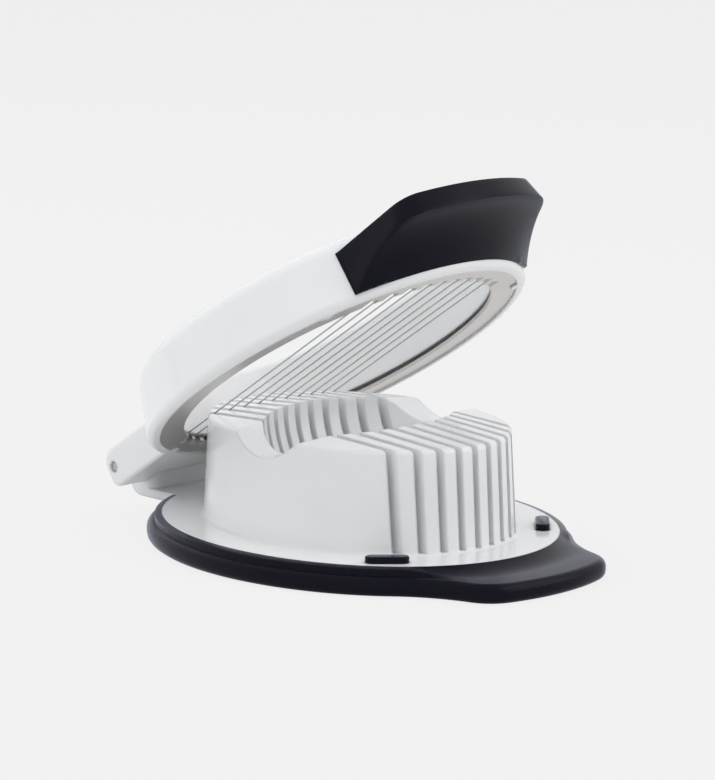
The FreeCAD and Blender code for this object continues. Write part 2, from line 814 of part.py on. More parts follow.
def cut_hinge(body):
    """Room for the base bracket between two cheeks, and the bore for the pin."""
    room = new_sketch(body, "bracket_room", "XZ_Plane")
    low = (-size("arm_end") - 1, rim_bottom - 1)
    add_box(room, low, (web_back, size("arm_top") + 1))
    cut(body, "bracket_gap", room, (size("bracket_half_width") + size("hinge_side_gap")) * 2, both=True)
    bore = new_sketch(body, "pin_bore_outline", "XZ_Plane")
    add_circle(bore, size("pin_radius") + size("pin_running_gap"))
    cut(body, "pin_bore", bore, size("arm_half_width") * 2 + 1, both=True)


def add_core(sketch, room):
    """Plan of the rigid core in the grip, grown by the room around it."""
    front = lid_centre + lid_half_length + size("core_reach") + room
    half = size("core_half_width") + room
    back = lid_centre + channel_in_length - size("inner_wall") / 2
    add_box(sketch, (back, -half), (front, half))


def build_lid_grip():
    """Soft grip: wraps the front wall of the lid and reaches forward, hollow below for a finger."""
    body = new_body("lid_grip")
    pivot = lid_centre + size("grip_pivot")
    wall = lid_half_length - size("grip_pivot")
    tip = wall + size("grip_reach")
    back = wall - size("grip_root")
    profile = new_sketch(body, "side_profile", "XZ_Plane")
    bind(profile, "AttachmentOffset.Base.x", pivot)
    corners = [
        (back, -size("grip_low")),
        (wall, -size("grip_low")),
        (tip, size("grip_tip_low")),
        (tip - size("grip_tip_lean"), size("grip_tip_high")),
        (back, size("grip_root_high")),
    ]
    add_outline(profile, corners, {1: (size("grip_under_radius"), "right")})
    turned = body.newObject("PartDesign::Revolution", "lid_grip_turned")
    turned.Profile = profile
    turned.ReferenceAxis = (profile, ["V_Axis"])
    turned.Midplane = True
    turned.Angle = 120
    finish(body, turned)

    for name, side in (("near", -1), ("far", 1)):
        low = new_sketch(body, f"flank_{name}_low", "XY_Plane", -size("grip_low") - 1)
        add_flank(low, size("grip_low_inset"), size("grip_low_side"), size("grip_low_angle"), side)
        high = new_sketch(body, f"flank_{name}_high", "XY_Plane", size("grip_tip_high") + 1)
        add_flank(high, size("grip_high_inset"), size("grip_high_side"), size("grip_high_angle"), side)
        loft(body, f"flank_{name}", low, high, kind="Subtractive")
    gap = size("grip_seat_gap")
    low = new_sketch(body, "wall_low", "XY_Plane", rim_bottom)
    add_ellipse(low, lid_half_length + gap, lid_half_width + gap, lid_centre)
    high = new_sketch(body, "wall_high", "XY_Plane", size("lid_rise"))
    draft = size("lid_draft") - gap
    add_ellipse(high, lid_half_length - draft, lid_half_width - draft, lid_centre)
    loft(body, "wall_room", low, high, kind="Subtractive")

    core = new_sketch(body, "core_room", "XY_Plane", size("core_level") - gap)
    add_core(core, gap)
    cut(body, "core_pocket", core, size("core_thickness") + gap * 2, up=True)
    place_on_hinge(body)


def add_flank(sketch, inset, length, angle, side):
    """Area outside one side of the grip: a straight side that leaves the lid wall, then a round corner."""
    end = size("grip_corner_end")
    radius = size("grip_corner_radius")
    half = lid_half_width - inset
    start = lid_centre + lid_half_length - size("grip_start")
    shoulder = start + length
    shoulder_half = half - length * sine(angle) / cosine(angle)
    corner = shoulder + radius * (cosine(end) - sine(angle))
    corner_half = shoulder_half + radius * (sine(end) - cosine(angle))
    back = lid_centre
    far = lid_centre + lid_half_length + size("grip_reach") + 10
    beyond = half + lid_half_length
    corners = [
        (back, half * side),
        (start, half * side),
        (shoulder, shoulder_half * side),
        (corner, corner_half * side),
        (far, corner_half * side),
        (far, beyond * side),
        (back, beyond * side),
    ]
    add_outline(sketch, corners, {2: (radius, "right" if side > 0 else "left")})


def build_wire_plate():
    """Stainless oval band with a notch and a slit hook tab for each end of each wire."""
    body = new_body("wire_plate")
    band = new_sketch(body, "band_outline", "XY_Plane", band_bottom)
    add_ellipse(band, band_half_length, band_half_width, lid_centre)
    add_ellipse(band, opening_half_length, opening_half_width, lid_centre)
    pad(body, "band", band, size("band_thickness"))

    notches = new_sketch(body, "notch_outline", "XY_Plane", band_top)
    tabs = new_sketch(body, "tab_outline", "XY_Plane", band_top)
    slits = new_sketch(body, "slit_outline", "XY_Plane", band_top)
    half_notch = size("notch_width") / 2
    half_tab = size("tab_width") / 2
    half_slit = size("wire_radius") + size("wire_slit_gap")
    for number, across in enumerate(wire_places):
        distance = across if number >= WIRE_COUNT / 2 else -across
        inside = tab_place(distance)
        outside = inside + size("tab_thickness")
        add_box(notches, (lid_centre - inside, across - half_notch), (lid_centre + inside, across + half_notch))
        slit_reach = outside + size("tab_gap")
        add_box(slits, (lid_centre - slit_reach, across - half_slit), (lid_centre + slit_reach, across + half_slit))
        add_box(tabs, (lid_centre - outside, across - half_tab), (lid_centre - inside, across + half_tab))
        add_box(tabs, (lid_centre + inside, across - half_tab), (lid_centre + outside, across + half_tab))
    cut(body, "notches", notches, size("band_thickness"))
    pad(body, "tabs", tabs, size("tab_height"))
    cut(body, "slits", slits, size("tab_height"), up=True)
    place_on_hinge(body)


def build_wire(number, across):
    """Straight wire with a swaged bead behind the hook tab at each end."""
    body = new_body(f"wire_{number + 1:02d}")
    distance = across if number >= WIRE_COUNT / 2 else -across
    bead = size("bead_radius")
    thin = size("wire_radius")
    neck = tab_place(distance) + size("tab_thickness")
    sink = root(bead * bead - thin * thin)
    tip = neck + sink + bead
    section = new_sketch(body, "half_section", "XZ_Plane")
    bind(section, "AttachmentOffset.Base.y", wire_level)
    corners = [
        (lid_centre - tip, as_size(0)),
        (lid_centre + tip, as_size(0)),
        (lid_centre + neck + sink, bead),
        (lid_centre + neck, thin),
        (lid_centre - neck, thin),
        (lid_centre - neck - sink, bead),
    ]
    add_outline(section, corners, {number: (bead, "left") for number in (1, 2, 4, 5)})
    turned = body.newObject("PartDesign::Revolution", f"{body.Label}_turned")
    turned.Profile = section
    turned.ReferenceAxis = (section, ["H_Axis"])
    turned.Angle = 360
    finish(body, turned)
    place_on_hinge(body, across)


build_base_moulding()
build_base_ring()
build_stop_pad("near", -1)
build_stop_pad("far", 1)
build_hinge_pin()
build_lid_frame()
build_lid_grip()
build_wire_plate()
for wire_number, wire_place in enumerate(wire_places):
    build_wire(wire_number, wire_place)

document.recompute()
for item in document.Objects:
    if "Invalid" in item.State or "Error" in item.State:
        raise RuntimeError(f"{item.Label} failed to recompute")
for piece in pieces:
    if piece.Shape.isNull() or not piece.Shape.isValid() or len(piece.Shape.Solids) != 1:
        raise RuntimeError(f"{piece.Label} is not one valid solid")

os.makedirs("parts", exist_ok=True)
for piece in pieces:
    piece.Shape.exportStep(f"parts/{piece.Label}.step")
    box = piece.Shape.BoundBox
    print(f"{piece.Label}: {piece.Shape.Volume:.0f} mm3, {box.XLength:.1f} x {box.YLength:.1f} x {box.ZLength:.1f} mm")
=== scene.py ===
"""Egg slicer: soft mouldings, finishes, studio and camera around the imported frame."""

import logging
import math
from dataclasses import dataclass, field
from enum import Enum
from typing import Callable, Sequence

import bmesh
import bpy
from mathutils import Matrix, Vector


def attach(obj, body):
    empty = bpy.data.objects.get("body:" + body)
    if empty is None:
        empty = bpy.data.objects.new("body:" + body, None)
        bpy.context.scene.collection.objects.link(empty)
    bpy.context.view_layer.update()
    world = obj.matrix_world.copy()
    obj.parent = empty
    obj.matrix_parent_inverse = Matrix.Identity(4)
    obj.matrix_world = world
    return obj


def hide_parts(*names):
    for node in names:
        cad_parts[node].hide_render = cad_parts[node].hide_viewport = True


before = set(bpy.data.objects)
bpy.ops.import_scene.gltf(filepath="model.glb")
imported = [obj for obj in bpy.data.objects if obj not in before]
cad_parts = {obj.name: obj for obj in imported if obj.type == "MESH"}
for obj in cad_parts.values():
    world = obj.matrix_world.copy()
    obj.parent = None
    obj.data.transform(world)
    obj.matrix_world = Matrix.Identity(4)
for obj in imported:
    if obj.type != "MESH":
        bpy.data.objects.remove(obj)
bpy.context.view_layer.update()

log = logging.getLogger("egg_slicer")

MM = 0.001
REST_TILT = math.radians(32.9)

Colour = tuple[float, float, float, float]
Place = Callable[[float, float, float], Vector]


class Body(Enum):
    """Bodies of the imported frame."""

    BASE = "base"
    LID = "lid"


class Slot(Enum):
    """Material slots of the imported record."""

    WHITE = "white_plastic"
    BLACK = "black_rubber"
    PLATE = "plate_steel"
    WIRE = "wire_steel"
    PIN = "pin_steel"


# Shader trees


class ShaderSheet:
    """Places and wires nodes in one shader tree."""

    def __init__(self, tree: bpy.types.NodeTree) -> None:
        """Keep the tree that the nodes go into."""
        self.tree = tree

    def add(self, kind: str, **settings: object) -> bpy.types.Node:
        """Add a node.

        Args:
            kind: Node type without its ShaderNode prefix.
            settings: Properties of the node, by name.

        Returns:
            The new node.
        """
        name = kind if kind.startswith("NodeGroup") else f"ShaderNode{kind}"
        node = self.tree.nodes.new(name)
        for key, value in settings.items():
            setattr(node, key, value)
        return node

    def wire(self, source: bpy.types.NodeSocket, target: bpy.types.NodeSocket) -> None:
        """Join an output to an input."""
        self.tree.links.new(source, target)

    def feed(self, target: bpy.types.NodeSocket, value: object) -> None:
        """Give an input a socket's result or a plain value.

        Args:
            target: Input that is fed.
            value: An output socket, or a value for the input itself.
        """
        if isinstance(value, bpy.types.NodeSocket):
            self.wire(value, target)
        else:
            target.default_value = value

    def maths(self, operation: str, first: object, second: object) -> bpy.types.NodeSocket:
        """Combine two numbers.

        Args:
            operation: Name of the math operation.
            first: Socket or number.
            second: Socket or number.

        Returns:
            The result's socket.
        """
        node = self.add("Math", operation=operation)
        self.feed(node.inputs[0], first)
        self.feed(node.inputs[1], second)
        return node.outputs[0]

    def spread(self, value: object, low: object, high: object) -> bpy.types.NodeSocket:
        """Stretch a share of 0 to 1 over a range.

        Args:
            value: Socket with the share.
            low: Result at 0.
            high: Result at 1.

        Returns:
            The result's socket.
        """
        node = self.add("MapRange")
        self.feed(node.inputs["Value"], value)
        self.feed(node.inputs["To Min"], low)
        self.feed(node.inputs["To Max"], high)
        return node.outputs["Result"]

    def ease(self, value: object, limits: tuple[float, float]) -> bpy.types.NodeSocket:
        """Turn a value into a share that eases in and out between two limits.

        Args:
            value: Socket with the value.
            limits: Values at a share of 0 and of 1.

        Returns:
            The result's socket.
        """
        node = self.add("MapRange", interpolation_type="SMOOTHSTEP")
        self.feed(node.inputs["Value"], value)
        node.inputs["From Min"].default_value, node.inputs["From Max"].default_value = limits
        return node.outputs["Result"]

    def blend(self, share: object, first: object, second: object) -> bpy.types.NodeSocket:
        """Blend two colours.

        Args:
            share: Share of the second colour.
            first: Socket or colour.
            second: Socket or colour.

        Returns:
            The result's socket.
        """
        node = self.add("Mix", data_type="RGBA")
        self.feed(node.inputs["Factor"], share)
        colours = [socket for socket in node.inputs if socket.type == "RGBA"]
        self.feed(colours[0], first)
        self.feed(colours[1], second)
        return [socket for socket in node.outputs if socket.type == "RGBA"][0]

    def noise(self, place: bpy.types.NodeSocket, scale: object, detail: float) -> bpy.types.NodeSocket:
        """Add a noise pattern.

        Args:
            place: Socket with the coordinates.
            scale: Repeats in a metre.
            detail: Number of finer layers.

        Returns:
            The pattern's value, from 0 to 1.
        """
        node = self.add("TexNoise")
        self.wire(place, node.inputs["Vector"])
        self.feed(node.inputs["Scale"], scale)
        node.inputs["Detail"].default_value = detail
        return node.outputs["Fac"]


class EffectGroup:
    """A shader node group with named sockets, built once."""

    def __init__(self, name: str, inputs: dict[str, float], outputs: Sequence[str]) -> None:
        """Make an empty group.

        Args:
            name: Name of the group.
            inputs: Number inputs with their usual values.
            outputs: Number outputs.
        """
        self.tree = bpy.data.node_groups.new(name, "ShaderNodeTree")
        self.tree.interface.new_socket("Vector", in_out="INPUT", socket_type="NodeSocketVector")
        for key, value in inputs.items():
            socket = self.tree.interface.new_socket(key, in_out="INPUT", socket_type="NodeSocketFloat")
            socket.default_value = value
        for key in outputs:
            self.tree.interface.new_socket(key, in_out="OUTPUT", socket_type="NodeSocketFloat")
        self.sheet = ShaderSheet(self.tree)
        self.source = self.sheet.add("NodeGroupInput")
        self.result = self.sheet.add("NodeGroupOutput")

    def place(self, sheet: ShaderSheet, vector: bpy.types.NodeSocket, **values: float) -> bpy.types.Node:
        """Put the group into a material.

        Args:
            sheet: Sheet of the material.
            vector: Socket with the coordinates.
            values: Inputs of the group, by name.

        Returns:
            The group's node.
        """
        node = sheet.add("Group", node_tree=self.tree)
        sheet.wire(vector, node.inputs["Vector"])
        for key, value in values.items():
            node.inputs[key].default_value = value
        return node


class Effects:
    """Surface effects that the finishes share."""

    PATCH_EDGE = (0.42, 0.68)
    FINE_PATCHES = 14.0
    SPECK_EDGE = (0.22, 0.10)
    SPECK_FIELDS = 0.06
    SPECK_LIMIT = 0.55
    LINE_PATCHES = 70.0

    def __init__(self) -> None:
        """Build every group once."""
        self.grain = self.build_grain()
        self.smudge = self.build_smudge()
        self.specks = self.build_specks()
        self.streaks = self.build_streaks()

    def build_grain(self) -> EffectGroup:
        """Fine moulded grain over slow waves, as a height and a tone."""
        group = EffectGroup("moulded_grain", {"Fine": 4000.0, "Slow": 60.0, "Waves": 0.3}, ("Height", "Tone"))
        sheet, source = group.sheet, group.source
        fine = sheet.noise(source.outputs["Vector"], source.outputs["Fine"], 2.0)
        slow = sheet.noise(source.outputs["Vector"], source.outputs["Slow"], 3.0)
        waves = sheet.maths("MULTIPLY", slow, source.outputs["Waves"])
        sheet.wire(sheet.maths("ADD", fine, waves), group.result.inputs["Height"])
        sheet.wire(slow, group.result.inputs["Tone"])
        return group

    def build_smudge(self) -> EffectGroup:
        """Handling marks: soft patches where the gloss is duller."""
        group = EffectGroup("handling_smudge", {"Scale": 45.0, "Low": 0.1, "High": 0.3}, ("Roughness", "Mask"))
        sheet, source = group.sheet, group.source
        patches = sheet.noise(source.outputs["Vector"], source.outputs["Scale"], 5.0)
        fine_scale = sheet.maths("MULTIPLY", source.outputs["Scale"], self.FINE_PATCHES)
        fine = sheet.noise(source.outputs["Vector"], fine_scale, 3.0)
        mask = sheet.maths("MULTIPLY", sheet.ease(patches, self.PATCH_EDGE), fine)
        rough = sheet.spread(mask, source.outputs["Low"], source.outputs["High"])
        sheet.wire(rough, group.result.inputs["Roughness"])
        sheet.wire(mask, group.result.inputs["Mask"])
        return group

    def build_specks(self) -> EffectGroup:
        """Dust and lint: small scattered specks."""
        group = EffectGroup("dust_specks", {"Scale": 900.0, "Amount": 0.2}, ("Mask",))
        sheet, source = group.sheet, group.source
        cells = sheet.add("TexVoronoi", feature="F1")
        sheet.wire(source.outputs["Vector"], cells.inputs["Vector"])
        sheet.wire(source.outputs["Scale"], cells.inputs["Scale"])
        field_scale = sheet.maths("MULTIPLY", source.outputs["Scale"], self.SPECK_FIELDS)
        fields = sheet.noise(source.outputs["Vector"], field_scale, 2.0)
        choice = sheet.maths("GREATER_THAN", fields, self.SPECK_LIMIT)
        mask = sheet.maths("MULTIPLY", sheet.ease(cells.outputs["Distance"], self.SPECK_EDGE), choice)
        sheet.wire(sheet.maths("MULTIPLY", mask, source.outputs["Amount"]), group.result.inputs["Mask"])
        return group

    def build_streaks(self) -> EffectGroup:
        """Brushed or drawn lines along the first axis of the coordinates."""
        group = EffectGroup("drawn_streaks", {"Across": 3000.0, "Along": 40.0}, ("Height", "Tone"))
        sheet, source = group.sheet, group.source
        scale = sheet.add("CombineXYZ")
        sheet.wire(source.outputs["Along"], scale.inputs["X"])
        sheet.wire(source.outputs["Across"], scale.inputs["Y"])
        sheet.wire(source.outputs["Across"], scale.inputs["Z"])
        stretch = sheet.add("VectorMath", operation="MULTIPLY")
        sheet.wire(source.outputs["Vector"], stretch.inputs[0])
        sheet.wire(scale.outputs["Vector"], stretch.inputs[1])
        lines = sheet.noise(stretch.outputs["Vector"], 1.0, 4.0)
        slow = sheet.noise(source.outputs["Vector"], self.LINE_PATCHES, 2.0)
        sheet.wire(lines, group.result.inputs["Height"])
        sheet.wire(sheet.maths("MULTIPLY", lines, slow), group.result.inputs["Tone"])
        return group


# Finishes


class FinishTools:
    """Start of a finish: an empty material with its shader and coordinates."""

    def __init__(self, name: str, turn: float = 0.0) -> None:
        """Make the material.

        Args:
            name: Name of the material.
            turn: Angle about Y that the pattern is turned by, in radians.
        """
        self.material = bpy.data.materials.new(name)
        self.material.use_nodes = True
        tree = self.material.node_tree
        tree.nodes.clear()
        self.sheet = ShaderSheet(tree)
        self.shader = self.sheet.add("BsdfPrincipled")
        output = self.sheet.add("OutputMaterial")
        self.sheet.wire(self.shader.outputs["BSDF"], output.inputs["Surface"])
        coordinates = self.sheet.add("TexCoord")
        mapping = self.sheet.add("Mapping")
        mapping.inputs["Rotation"].default_value = (0.0, turn, 0.0)
        self.sheet.wire(coordinates.outputs["Object"], mapping.inputs["Vector"])
        self.place = mapping.outputs["Vector"]

    def set(self, **values: object) -> None:
        """Set plain values or sockets on the shader, with _ for a space in a socket's name."""
        for key, value in values.items():
            self.sheet.feed(self.shader.inputs[key.replace("_", " ")], value)

    def bump(self, height: bpy.types.NodeSocket, depth: float, edge: float = 0.0) -> None:
        """Raise the surface by a height pattern.

        Args:
            height: Socket with the pattern.
            depth: Height of the pattern in metres.
            edge: Radius of the softened edges in metres, or 0 for none.
        """
        bump = self.sheet.add("Bump")
        bump.inputs["Strength"].default_value = 1.0
        bump.inputs["Distance"].default_value = depth
        self.sheet.wire(height, bump.inputs["Height"])
        if edge > 0.0:
            soft = self.sheet.add("Bevel", samples=4)
            soft.inputs["Radius"].default_value = edge
            self.sheet.wire(soft.outputs["Normal"], bump.inputs["Normal"])
        self.sheet.wire(bump.outputs["Normal"], self.shader.inputs["Normal"])


@dataclass(frozen=True)
class GlossWhite:
    """Gloss white plastic with faint handling marks."""

    name: str = "gloss_white"
    pale: Colour = (0.84, 0.843, 0.846, 1.0)
    cool: Colour = (0.81, 0.817, 0.824, 1.0)
    low_gloss: float = 0.13
    high_gloss: float = 0.30
    bend: float = 1.49
    depth: float = 0.001 * MM
    edge: float = 1.0 * MM
    bleed: float = 0.30
    bleed_scale: float = 0.5
    bleed_reach: tuple[float, float, float] = (4.0 * MM, 4.4 * MM, 4.8 * MM)

    def build(self, effects: Effects) -> bpy.types.Material:
        """Make the material.

        Args:
            effects: Shared surface effects.

        Returns:
            The material.
        """
        tools = FinishTools(self.name)
        grain = effects.grain.place(tools.sheet, tools.place, Fine=900.0, Slow=28.0, Waves=1.5)
        smudge = effects.smudge.place(tools.sheet, tools.place, Scale=38.0, Low=self.low_gloss,
                                      High=self.high_gloss)
        tools.set(Base_Color=tools.sheet.blend(grain.outputs["Tone"], self.cool, self.pale))
        tools.set(Roughness=smudge.outputs["Roughness"], IOR=self.bend, Subsurface_Weight=self.bleed)
        tools.set(Subsurface_Radius=self.bleed_reach, Subsurface_Scale=self.bleed_scale)
        tools.bump(grain.outputs["Height"], self.depth, self.edge)
        return tools.material


@dataclass(frozen=True)
class SoftBlack:
    """Black soft-touch rubber with a fine grain and a little dust."""

    name: str = "soft_black"
    dark: Colour = (0.0016, 0.0014, 0.0052, 1.0)
    light: Colour = (0.0032, 0.0029, 0.0080, 1.0)
    dust: Colour = (0.03, 0.03, 0.036, 1.0)
    sheen: Colour = (0.90, 0.90, 1.0, 1.0)
    bloom: Colour = (0.70, 0.74, 1.0, 1.0)
    bloom_weight: float = 0.8
    bloom_spread: float = 0.25
    bend: float = 1.5
    mirror: float = 0.125
    depth: float = 0.02 * MM
    low_gloss: float = 0.24
    high_gloss: float = 0.30

    def build(self, effects: Effects) -> bpy.types.Material:
        """Make the material.

        Args:
            effects: Shared surface effects.

        Returns:
            The material.
        """
        tools = FinishTools(self.name)
        grain = effects.grain.place(tools.sheet, tools.place, Fine=3600.0, Slow=70.0, Waves=0.2)
        smudge = effects.smudge.place(tools.sheet, tools.place, Scale=60.0, Low=self.low_gloss,
                                      High=self.high_gloss)
        specks = effects.specks.place(tools.sheet, tools.place, Scale=1400.0, Amount=0.35)
        rubber = tools.sheet.blend(grain.outputs["Tone"], self.dark, self.light)
        tools.set(Base_Color=tools.sheet.blend(specks.outputs["Mask"], rubber, self.dust))
        tools.set(Roughness=smudge.outputs["Roughness"], IOR=self.bend, Specular_IOR_Level=self.mirror)
        tools.set(Specular_Tint=self.sheen, Sheen_Tint=self.bloom, Sheen_Weight=self.bloom_weight)
        tools.set(Sheen_Roughness=self.bloom_spread)
        tools.bump(grain.outputs["Height"], self.depth)
        return tools.material


@dataclass(frozen=True)
class DrawnSteel:
    """Stainless steel with brushed or drawn lines."""

    name: str
    pale: Colour
    dark: Colour
    low_gloss: float
    high_gloss: float
    across: float
    along: float
    depth: float
    turn: float = 0.0

    def build(self, effects: Effects) -> bpy.types.Material:
        """Make the material.

        Args:
            effects: Shared surface effects.

        Returns:
            The material.
        """
        tools = FinishTools(self.name, self.turn)
        streaks = effects.streaks.place(tools.sheet, tools.place, Across=self.across, Along=self.along)
        smudge = effects.smudge.place(tools.sheet, tools.place, Scale=90.0, Low=self.low_gloss,
                                      High=self.high_gloss)
        tools.set(Base_Color=tools.sheet.blend(streaks.outputs["Tone"], self.dark, self.pale))
        tools.set(Metallic=1.0, Roughness=smudge.outputs["Roughness"])
        tools.bump(streaks.outputs["Height"], self.depth)
        return tools.material


# Shapes


SPIN_RADIUS = 4.0
SHARP_ANGLE = math.radians(38.0)


def spun_loft(profile: Sequence[tuple[float, float]], steps: int, sweep: float, place: Place,
              corners: dict[int, tuple[float, int]]) -> bmesh.types.BMesh:
    """Spin a profile of shares and lay each vertex where a shape wants it.

    Args:
        profile: Closed outline as (across, up) shares.
        steps: Number of steps of the spin.
        sweep: Angle of the spin in radians, centred on +X; a full turn closes on itself.
        place: Gives a vertex's place from (angle, across, up).
        corners: Points of the profile whose edges are rounded, with radius and segments.

    Returns:
        The mesh, with its open ends filled.
    """
    mesh = bmesh.new()
    full = sweep > 2 * math.pi - 1e-6
    start = Matrix.Rotation(-sweep / 2, 3, "Z")
    ring = [mesh.verts.new(start @ Vector((SPIN_RADIUS + across, 0.0, up))) for across, up in profile]
    edges = [mesh.edges.new((ring[i - 1], ring[i])) for i in range(len(ring))]
    bmesh.ops.spin(mesh, geom=ring + edges, cent=(0, 0, 0), axis=(0, 0, 1), dvec=(0, 0, 0),
                   angle=sweep, steps=steps, use_merge=full, use_duplicate=False)
    bmesh.ops.remove_doubles(mesh, verts=mesh.verts, dist=1e-6)
    rounded = {index: [] for index in corners}
    for edge in mesh.edges:
        for index in corners:
            across, up = profile[index]
            if all(abs(math.hypot(v.co.x, v.co.y) - SPIN_RADIUS - across) < 1e-4 and abs(v.co.z - up) < 1e-4
                   for v in edge.verts):
                rounded[index].append(edge)
    for vert in mesh.verts:
        angle = math.atan2(vert.co.y, vert.co.x)
        vert.co = place(angle, math.hypot(vert.co.x, vert.co.y) - SPIN_RADIUS, vert.co.z)
    if not full:
        bmesh.ops.holes_fill(mesh, edges=mesh.edges)
    for index, (radius, segments) in corners.items():
        live = [edge for edge in rounded[index] if edge.is_valid]
        bmesh.ops.bevel(mesh, geom=live, offset=radius, offset_type="OFFSET", segments=segments,
                        profile=0.5, affect="EDGES", clamp_overlap=True, material=-1)
    bmesh.ops.recalc_face_normals(mesh, faces=mesh.faces)
    return mesh


def finish_piece(mesh: bmesh.types.BMesh, name: str, material: bpy.types.Material, body: Body, slot: Slot,
                 node: str) -> bpy.types.Object:
    """Turn a mesh into a piece of the object.

    Args:
        mesh: Shape, in the row frame.
        name: Name of the piece.
        material: Its finish.
        body: Body that it rides on.
        slot: Slot that its finish comes from; not used.
        node: Node of the frame that it stands for.

    Returns:
        The piece.
    """
    data = bpy.data.meshes.new(name)
    mesh.to_mesh(data)
    mesh.free()
    data.materials.append(material)
    data.shade_smooth()
    data.set_sharp_from_angle(angle=SHARP_ANGLE)
    piece = bpy.data.objects.new(name, data)
    bpy.context.scene.collection.objects.link(piece)
    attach(piece, body.value)
    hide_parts(node)
    log.info("%s: %d faces", name, len(data.polygons))
    return piece


def smooth_step(share: float) -> float:
    """Ease a share of 0 to 1 in and out."""
    share = min(max(share, 0.0), 1.0)
    return share * share * (3.0 - 2.0 * share)


@dataclass(frozen=True)
class Arc:
    """Part of a circle in plan."""

    centre: Vector
    radius: float
    start: float
    sweep: float

    @classmethod
    def through(cls, centre: Vector, first: Vector, last: Vector) -> "Arc":
        """Shorter arc about a centre from one point to another."""
        a = first - centre
        b = last - centre
        start = math.atan2(a.y, a.x)
        sweep = math.atan2(b.y, b.x) - start
        sweep = (sweep + math.pi) % (2 * math.pi) - math.pi
        return cls(centre, a.length, start, sweep)

    @property
    def length(self) -> float:
        """Length along the arc."""
        return abs(self.sweep) * self.radius

    def at(self, distance: float) -> Vector:
        """Point at a distance along the arc."""
        angle = self.start + self.sweep * distance / self.length
        return self.centre + Vector((math.cos(angle), math.sin(angle))) * self.radius


class Outline:
    """Half of an outline in plan, from its middle to its root."""

    def __init__(self, arcs: Sequence[Arc]) -> None:
        """Keep the arcs in their order."""
        self.arcs = list(arcs)
        self.length = sum(arc.length for arc in arcs)

    def at(self, share: float) -> Vector:
        """Point at a share of the length.

        Args:
            share: From 0 at the middle to 1 at the root.

        Returns:
            The point, on the side of +Y.
        """
        distance = min(max(share, 0.0), 1.0) * self.length
        for arc in self.arcs:
            if distance <= arc.length or arc is self.arcs[-1]:
                return arc.at(min(distance, arc.length))
            distance -= arc.length
        return self.arcs[-1].at(self.arcs[-1].length)


def fillet_between(bow: Vector, bow_radius: float, side: Vector, side_radius: float,
                   radius: float) -> tuple[Vector, Vector, Vector]:
    """Rounded corner inside one circle and outside another.

    Args:
        bow: Centre of the circle that the corner lies inside.
        bow_radius: Its radius.
        side: Centre of the circle that the corner lies outside.
        side_radius: Its radius.
        radius: Radius of the corner.

    Returns:
        The corner's centre and its two touching points, the bow's first.
    """
    first = bow_radius - radius
    second = side_radius + radius
    line = side - bow
    gap = line.length
    along = (gap * gap + first * first - second * second) / (2 * gap)
    across = math.sqrt(max(first * first - along * along, 0.0))
    unit = line / gap
    normal = Vector((unit.y, -unit.x))
    centre = bow + unit * along + normal * across
    on_bow = bow + (centre - bow).normalized() * bow_radius
    on_side = side + (centre - side).normalized() * side_radius
    return centre, on_bow, on_side


def chord_centre(first: Vector, last: Vector, radius: float, left: bool) -> Vector:
    """Centre of a circle through two points.

    Args:
        first: First point.
        last: Second point.
        radius: Radius of the circle.
        left: True if the centre lies to the left of the way from first to last.

    Returns:
        The centre.
    """
    middle = (first + last) / 2
    half = (last - first) / 2
    rise = math.sqrt(radius * radius - half.length_squared)
    normal = Vector((-half.y, half.x)).normalized()
    return middle + normal * (rise if left else -rise)


